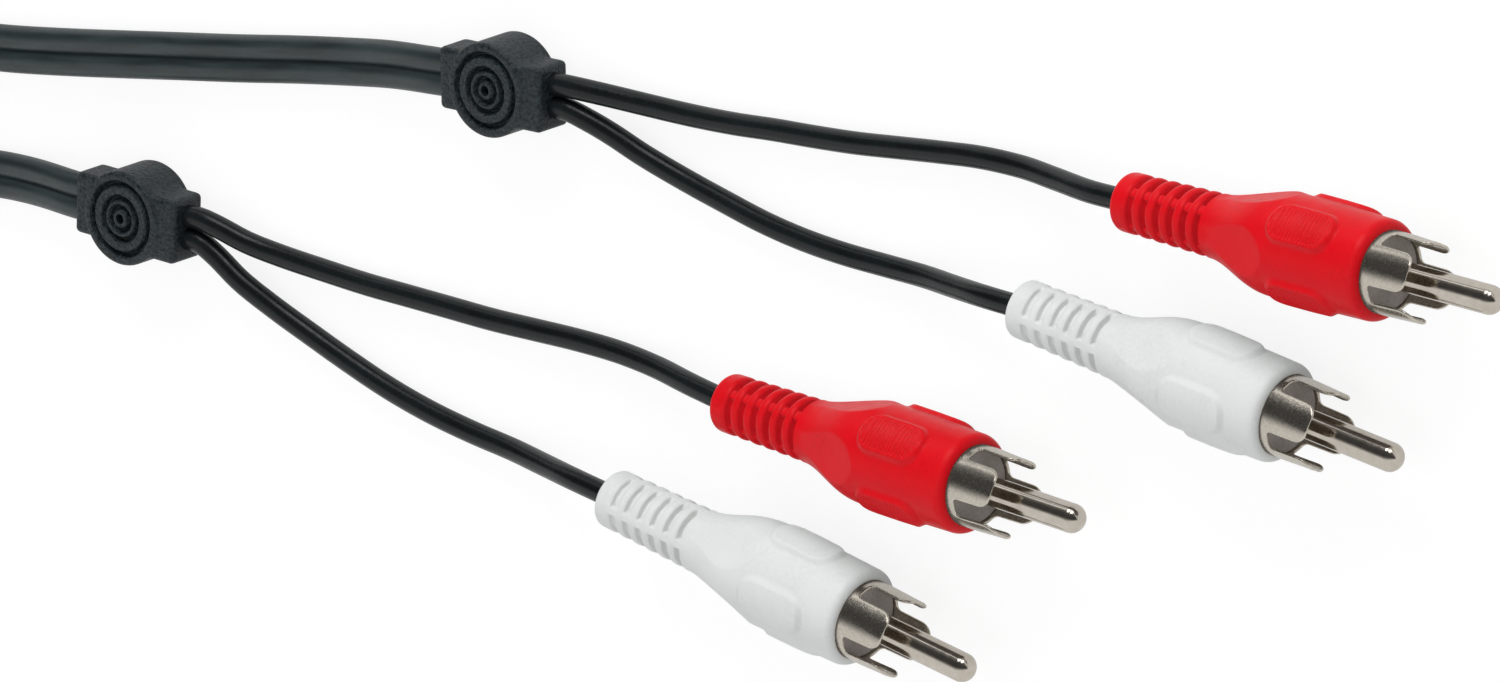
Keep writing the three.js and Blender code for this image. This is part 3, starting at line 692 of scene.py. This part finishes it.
def centrePinProfile():
    # Solder cup, thin tail, shoulder, barrel, and a nose that is a quarter of an ellipse
    p = centrePin
    nose = np.radians(np.linspace(0, 90, 16))
    start = p["reach"] - p["noseLength"]
    cup = [(p["cupDepth"] - p["tailEnd"], 0), (p["cupDepth"] - p["tailEnd"], p["cupRadius"]),
           (-p["tailEnd"], p["cupRadius"]), (-p["tailEnd"], p["tailRadius"] - p["cupEdge"]),
           (-p["tailEnd"] + p["cupEdge"], p["tailRadius"]), (-p["shoulder"], p["tailRadius"]),
           (-p["shoulder"], p["radius"] - p["shoulderEdge"]),
           (-p["shoulder"] + p["shoulderEdge"], p["radius"]), (0.6, p["radius"]), (start - 3, p["radius"])]
    return cup + [(start + p["noseLength"] * math.sin(t), p["radius"] * math.cos(t)) for t in nose]


insulator = {"front": 0.6, "rear": 6.0, "radius": 4.12, "pinHole": 1.66, "tailHole": 1.2, "edge": 0.1,
             "slack": 0.05}


def insulatorProfile():
    # A thick disc with a stepped hole that the pin's shoulder rests in
    i = insulator
    step = -centrePin["shoulder"] - i["slack"]
    return [(i["front"], i["pinHole"] + i["edge"]), (i["front"], i["radius"] - i["edge"]),
            (i["front"] - i["edge"], i["radius"]), (-i["rear"], i["radius"]), (-i["rear"], i["tailHole"]),
            (step, i["tailHole"]), (step, i["pinHole"]), (i["front"] - i["edge"], i["pinHole"])]


leadEnd = {"rear": 31.9, "jacketRadius": 1.2, "jacketFront": 11.2, "coreRadius": 0.7, "coreFront": 9.3,
           "strandRadius": 0.4, "strandFront": 7.2}


def leadEndProfile():
    # Jacket, the inner core that comes out of it, and the bare strands in the solder cup
    e = leadEnd
    return [(-e["rear"], 0), (-e["rear"], e["jacketRadius"]), (-e["jacketFront"], e["jacketRadius"]),
            (-e["jacketFront"], e["coreRadius"]), (-e["coreFront"], e["coreRadius"]),
            (-e["coreFront"], e["strandRadius"]), (-e["strandFront"], e["strandRadius"]),
            (-e["strandFront"], 0)]


for name, plug in plugs.items():
    turn = plugTurn[plug["colour"]]
    matrix = plugMatrix(plug)
    bodyMatrix = matrix @ np.array(Matrix.Rotation(-math.radians(turn["body"]), 4, "X"))
    shellMatrix = matrix @ np.array(Matrix.Rotation(-math.radians(turn["shell"]), 4, "X"))
    pvc = redPvc if plug["colour"] == "red" else whitePvc
    pieces = [
        ("overmould", [(overmouldGrid(plug["colour"]), True)], bodyMatrix, pvc, plug["colour"] + "_pvc"),
        ("contact_shell", contactShellGrids(), shellMatrix, petalNickel, "nickel_plate"),
        ("insulator", [(lathe(insulatorProfile()), True)], matrix, insulatorPlastic, "insulator_plastic"),
        ("centre_pin", [(lathe(centrePinProfile()), False)], matrix, pinNickel, "nickel_plate"),
        ("lead_end", [(lathe(leadEndProfile(), 32), False)], matrix, leadPvc, "lead_pvc"),
    ]
    for part, grids, place, material, slot in pieces:
        grids = [(placed(grid, place), wrap) for grid, wrap in grids]
        made = meshFromGrids(f"{name}_{part}_dressed", grids, material)
        dress(made, slot, f"{name}_{part}")
print("plugs made")

splitters = {
    "upper_splitter": {"middle": (-42.89, 16.21), "heading": 5.1},
    "lower_splitter": {"middle": (-92.22, -11.14), "heading": 1.7},
}
splitter = {
    "discRadius": 5.25, "height": 6.3, "discRound": 0.5, "holeRadius": 0.5, "holeDepth": 1.0,
    "grooves": (1.3, 2.35, 3.95), "grooveWidth": 0.9, "grooveDepth": 0.8, "blockBottom": 1.0,
    "blockTop": 5.5, "blockRound": 0.6, "leadReach": 7.3, "twinReach": 7.2, "halfWidth": 3.45,
    "twinShift": 0.15, "fillet": 0.5, "leadExtraTop": 0.4, "leadExtraSide": 0.3,
}
# The rays that find its surface: the height that they start from, their length, and how often it is halved
search = {"startHeight": 2.6, "length": 12.0, "halvings": 34}


def roundedDistance(*sides, rounding):
    # Distance to a box or disc whose edges are rounded, from the distances past its sides
    sides = [side + rounding for side in sides]
    past = np.sqrt(sum(np.maximum(side, 0) ** 2 for side in sides))
    return past + np.minimum(np.maximum.reduce(sides), 0) - rounding


def splitterDistance(p):
    # The disc and the two blocks, joined with a fillet where they meet
    s = splitter
    x, y, z = p[..., 0], p[..., 1], p[..., 2]
    disc = roundedDistance(np.hypot(x, y) - s["discRadius"], np.abs(z - s["height"] / 2) - s["height"] / 2,
                           rounding=s["discRound"])
    for x0, x1, right, left, top in (
            (0, s["leadReach"], -s["halfWidth"] - s["leadExtraSide"], s["halfWidth"],
             s["blockTop"] + s["leadExtraTop"]),
            (-s["twinReach"], 0, s["twinShift"] - s["halfWidth"], s["twinShift"] + s["halfWidth"],
             s["blockTop"])):
        sides = [np.abs(v - (low + high) / 2) - (high - low) / 2 for v, low, high in
                 ((x, x0, x1), (y, right, left), (z, s["blockBottom"], top))]
        block = roundedDistance(*sides, rounding=s["blockRound"])
        disc = smoothLeast(disc, block, s["fillet"])
    return disc


def splitterGrid():
    # Rays from a point inside the disc meet the surface; the turned grooves and the middle hole are then
    # pressed into the top. Rows run from the top's middle over the edge and down to the base's middle
    s = splitter
    r, h = s["discRadius"], s["height"]
    top = np.concatenate([[0.0, 0.25, 0.44, 0.5, 0.56], np.arange(0.68, 4.7, 0.075),
                          np.linspace(4.75, r, 6)])
    side = np.linspace(h, 0, 46)[1:-1]
    base = np.linspace(r, 0, 14)
    ring = np.concatenate([top, r + 0 * side, base])
    level = np.concatenate([h + 0 * top, side, 0 * base])
    angle = np.linspace(0, 2 * np.pi, 224, endpoint=False)
    aim = np.stack(np.broadcast_arrays(ring[:, None] * np.cos(angle), ring[:, None] * np.sin(angle),
                                       level[:, None]), axis=-1)
    middle = np.array([0, 0, search["startHeight"]])
    direction = unit(aim - middle)
    near, far = np.zeros(aim.shape[:2]), np.full(aim.shape[:2], search["length"])
    for _ in range(search["halvings"]):
        half = (near + far) / 2
        inside = splitterDistance(middle + direction * half[..., None]) < 0
        near, far = np.where(inside, half, near), np.where(inside, far, half)
    grid = middle + direction * near[..., None]
    reach = np.hypot(grid[..., 0], grid[..., 1])
    onTop = np.arange(len(ring))[:, None] < len(top) - 3
    for groove in s["grooves"]:
        across = np.clip(np.abs(reach - groove) / s["grooveWidth"], 0, 0.5)
        grid[..., 2] -= np.where(onTop, s["grooveDepth"] * (0.5 + 0.5 * np.cos(2 * np.pi * across)), 0)
    grid[..., 2] -= np.where(onTop & (reach < s["holeRadius"] + 0.02), s["holeDepth"], 0)
    return grid


for name, place in splitters.items():
    heading = Matrix.Rotation(math.radians(place["heading"]), 4, "Z")
    middle = np.add(place["middle"], splitterShift[name.split("_")[0]])
    matrix = np.array(Matrix.Translation((*middle, 0)) @ heading)
    made = meshFromGrids(f"{name}_dressed", [(placed(splitterGrid(), matrix), False)], splitterPvc)
    dress(made, "splitter_pvc", name)
print("splitters made")

tie = {"angle": 180.0, "innerRadius": 13.35, "outerRadius": 39.0, "bottom": 0.2, "top": 5.9, "width": 3.0,
       "wall": 0.35, "corner": 1.0}
# Its twisted tail sways to one side, sinks towards the table and opens out at its end
tieTail = {"length": 13.0, "turns": 3.0, "gap": 0.1, "sway": 1.5, "swayRate": 2.4, "height": 3.2,
           "sinks": 1.8, "sinkRate": 1.4, "halfWidth": 0.55, "halfWall": 0.3, "opensBy": 0.95,
           "opensFrom": 0.82}


def tieGrid():
    # A flat band round the coil's section, along a rounded rectangle
    t = tie
    arc = np.radians(np.linspace(0, 90, 6))
    corners = [(t["outerRadius"] - t["corner"], t["top"] - t["corner"], 0),
               (t["innerRadius"] + t["corner"], t["top"] - t["corner"], 90),
               (t["innerRadius"] + t["corner"], t["bottom"] + t["corner"], 180),
               (t["outerRadius"] - t["corner"], t["bottom"] + t["corner"], 270)]
    turn = np.concatenate([arc + math.radians(start) for _, _, start in corners])
    middle = np.repeat([(r, z) for r, z, _ in corners], len(arc), axis=0)
    out = np.stack([np.cos(turn), np.sin(turn)], axis=1)
    wall, width = t["wall"] / 2, t["width"] / 2
    section = np.array([(width, wall), (-width, wall), (-width, -wall), (width, -wall)])
    reach = t["corner"] + section[None, :, 1:]
    flat = middle[:, None] + out[:, None] * reach
    across = np.broadcast_to(section[None, :, 0], flat.shape[:2])
    return np.stack([flat[..., 0], across, flat[..., 1]], axis=-1)


def tieTailGrid():
    # The band's two ends twisted together: a thick strip that turns about its own line
    t = tieTail
    along = np.linspace(0, 1, 60)
    path = np.stack([tie["outerRadius"] + t["gap"] + t["length"] * along,
                     t["sway"] * np.sin(along * t["swayRate"]),
                     t["height"] - t["sinks"] * ease(along * t["sinkRate"])], axis=1)
    spin = 2 * np.pi * t["turns"] * along
    wide = t["halfWidth"] + t["opensBy"] * ease((along - t["opensFrom"]) / (1 - t["opensFrom"]))
    wall = t["halfWall"]
    section = np.array([(1, wall), (-1, wall), (-1, -wall), (1, -wall)])
    side, rise = section[None, :, 0] * wide[:, None], section[None, :, 1] + 0 * wide[:, None]
    turned = np.stack([0 * side, side * np.cos(spin)[:, None] - rise * np.sin(spin)[:, None],
                       side * np.sin(spin)[:, None] + rise * np.cos(spin)[:, None]], axis=-1)
    grid = path[:, None] + turned
    ends = [np.repeat(path[k][None, None], 4, axis=1) for k in (0, -1)]
    return np.concatenate([ends[0], grid, ends[1]])


tieTurn = Matrix.Rotation(math.radians(tie["angle"]), 4, "Z")
matrix = np.array(Matrix.Translation((*coil["centre"], 0)) @ tieTurn)
tieGrids = [(placed(tieGrid(), matrix), True), (placed(tieTailGrid(), matrix), False)]
coilTie = meshFromGrids("coil_tie", tieGrids, tiePaper)
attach(coilTie, "root")
print("tie made")

for entry in leads.values():
    pieces = [bpy.data.objects[f"{entry['plug']}_{part}_dressed"] for part in
              ("overmould", "contact_shell", "insulator", "centre_pin", "lead_end")]

# The table and the light. A lamp has its direction from the object, its distance and width in metres, and
# the radiance of its face. The mirrored lamps are seen in reflections and light nothing else; the others
# light the object and aren't reflected.
lamps = {
    "overhead": {"towards": (0.05, -0.05, 1.0), "distance": 1.5, "size": 1.75, "level": 0.7},
    "fromBack": {"towards": (-0.12, 0.93, 0.34), "distance": 1.6, "size": 1.1, "level": 4.8},
    "fromFront": {"towards": (0.2, -0.9, 0.5), "distance": 1.6, "size": 1.0, "level": 1.2},
    "spotLeft": {"towards": (-0.17, 0.91, 0.38), "distance": 1.6, "size": 0.62, "level": 3.0},
    "spotRight": {"towards": (0.33, 0.88, 0.35), "distance": 1.6, "size": 0.62, "level": 3.0},
}
mirroredLamps = ("spotLeft", "spotRight")
# Mirrors see a bright front side, a dark ceiling with a strip light at its far edge, and a grey back. Each
# pair is an angle from straight up towards the back, in degrees, and the level there.
studio = {
    "fill": 0.47,
    "mirrored": [(-180, 0.8), (-9, 0.8), (6, 0.14), (16, 0.05), (48, 0.06), (62, 0.14), (72, 0.2),
                 (75, 1.2), (79, 1.2), (83, 0.3), (96, 0.45), (180, 0.45)],
    "table": "#d2d2d1", "tableSeen": 0.2, "tableWhite": 0.85, "tableMirrored": 0.5,
}


def makeLamp(name, lamp):
    # A round softbox whose face has the given radiance: power = radiance * pi * area
    data = bpy.data.lights.new(name, "AREA")
    data.shape = "DISK"
    data.size = lamp["size"]
    data.energy = lamp["level"] * math.pi * math.pi * lamp["size"] ** 2 / 4
    towards = unit(lamp["towards"])
    made = bpy.data.objects.new(name, data)
    bpy.context.scene.collection.objects.link(made)
    place = towards * lamp["distance"]
    side = unit(np.cross([0, 0, 1] if abs(towards[2]) < 0.95 else [0, 1, 0], towards))
    turn = Matrix([side, np.cross(towards, side), towards]).transposed().to_4x4()
    made.matrix_world = Matrix.Translation(place) @ turn
    made.visible_camera = False
    made.visible_glossy = name in mirroredLamps
    made.visible_diffuse = name not in mirroredLamps


def makeTable():
    # White to the camera, with the object's soft shadow. Reflections see half of that and half of a plain
    # light grey, and every other ray sees only the grey
    mesh = bpy.data.meshes.new("table")
    reach = 3.0
    mesh.from_pydata([(-reach, -reach, 0), (reach, -reach, 0), (reach, reach, 0), (-reach, reach, 0)], [],
                     [(0, 1, 2, 3)])
    material, tree = newMaterial("white laminate")
    seen = addNode(tree, "ShaderNodeBsdfDiffuse", {"Color": (studio["tableSeen"],) * 3 + (1,)})
    glow = addNode(tree, "ShaderNodeEmission", {"Strength": studio["tableWhite"]})
    both = addNode(tree, "ShaderNodeAddShader", {0: seen.outputs["BSDF"], 1: glow.outputs["Emission"]})
    plain = addNode(tree, "ShaderNodeBsdfDiffuse", {"Color": linear(studio["table"])})
    rays = addNode(tree, "ShaderNodeLightPath")
    glossy = addNode(tree, "ShaderNodeMath", {0: rays.outputs["Is Glossy Ray"], 1: studio["tableMirrored"]},
                     operation="MULTIPLY")
    either = addNode(tree, "ShaderNodeMath", {0: rays.outputs["Is Camera Ray"], 1: glossy.outputs["Value"]},
                     operation="MAXIMUM")
    mix = addNode(tree, "ShaderNodeMixShader", {0: either.outputs["Value"], 1: plain.outputs["BSDF"],
                                                2: both.outputs["Shader"]})
    addNode(tree, "ShaderNodeOutputMaterial", {"Surface": mix.outputs["Shader"]})
    mesh.materials.append(material)
    made = bpy.data.objects.new("table", mesh)
    bpy.context.scene.collection.objects.link(made)


def makeStudio():
    # White to the camera; an even fill lights the object, and reflections see the levels that are listed
    world = bpy.data.worlds.new("studio")
    bpy.context.scene.world = world
    world.use_nodes = True
    tree = world.node_tree
    tree.nodes.clear()
    direction = addNode(tree, "ShaderNodeTexCoord").outputs["Generated"]
    parts = addNode(tree, "ShaderNodeSeparateXYZ", {"Vector": direction})
    lean = addNode(tree, "ShaderNodeMath", {0: parts.outputs["Y"], 1: parts.outputs["Z"]},
                   operation="ARCTAN2")
    share = addNode(tree, "ShaderNodeMapRange", {"Value": lean.outputs["Value"], "From Min": -math.pi,
                                                 "From Max": math.pi})
    ramp = addNode(tree, "ShaderNodeValToRGB", {"Fac": share.outputs["Result"]})
    while len(ramp.color_ramp.elements) < len(studio["mirrored"]):
        ramp.color_ramp.elements.new(0.5)
    for element, (degrees, level) in zip(ramp.color_ramp.elements, studio["mirrored"]):
        element.position = (degrees + 180) / 360
        element.color = (level,) * 3 + (1,)
    plain = addNode(tree, "ShaderNodeBackground", {"Color": (1, 1, 1, 1), "Strength": studio["fill"]})
    mirrored = addNode(tree, "ShaderNodeBackground", {"Color": ramp.outputs["Color"], "Strength": 1.0})
    white = addNode(tree, "ShaderNodeBackground", {"Color": (1, 1, 1, 1), "Strength": 1.0})
    rays = addNode(tree, "ShaderNodeLightPath")
    glossy = addNode(tree, "ShaderNodeMixShader", {0: rays.outputs["Is Glossy Ray"],
                                                   1: plain.outputs["Background"],
                                                   2: mirrored.outputs["Background"]})
    whole = addNode(tree, "ShaderNodeMixShader", {0: rays.outputs["Is Camera Ray"],
                                                  1: glossy.outputs["Shader"],
                                                  2: white.outputs["Background"]})
    addNode(tree, "ShaderNodeOutputWorld", {"Surface": whole.outputs["Shader"]})


makeTable()
makeStudio()
for name, lamp in lamps.items():
    makeLamp(name, lamp)
print("studio made")

bpy.context.scene.view_settings.view_transform = "Standard"
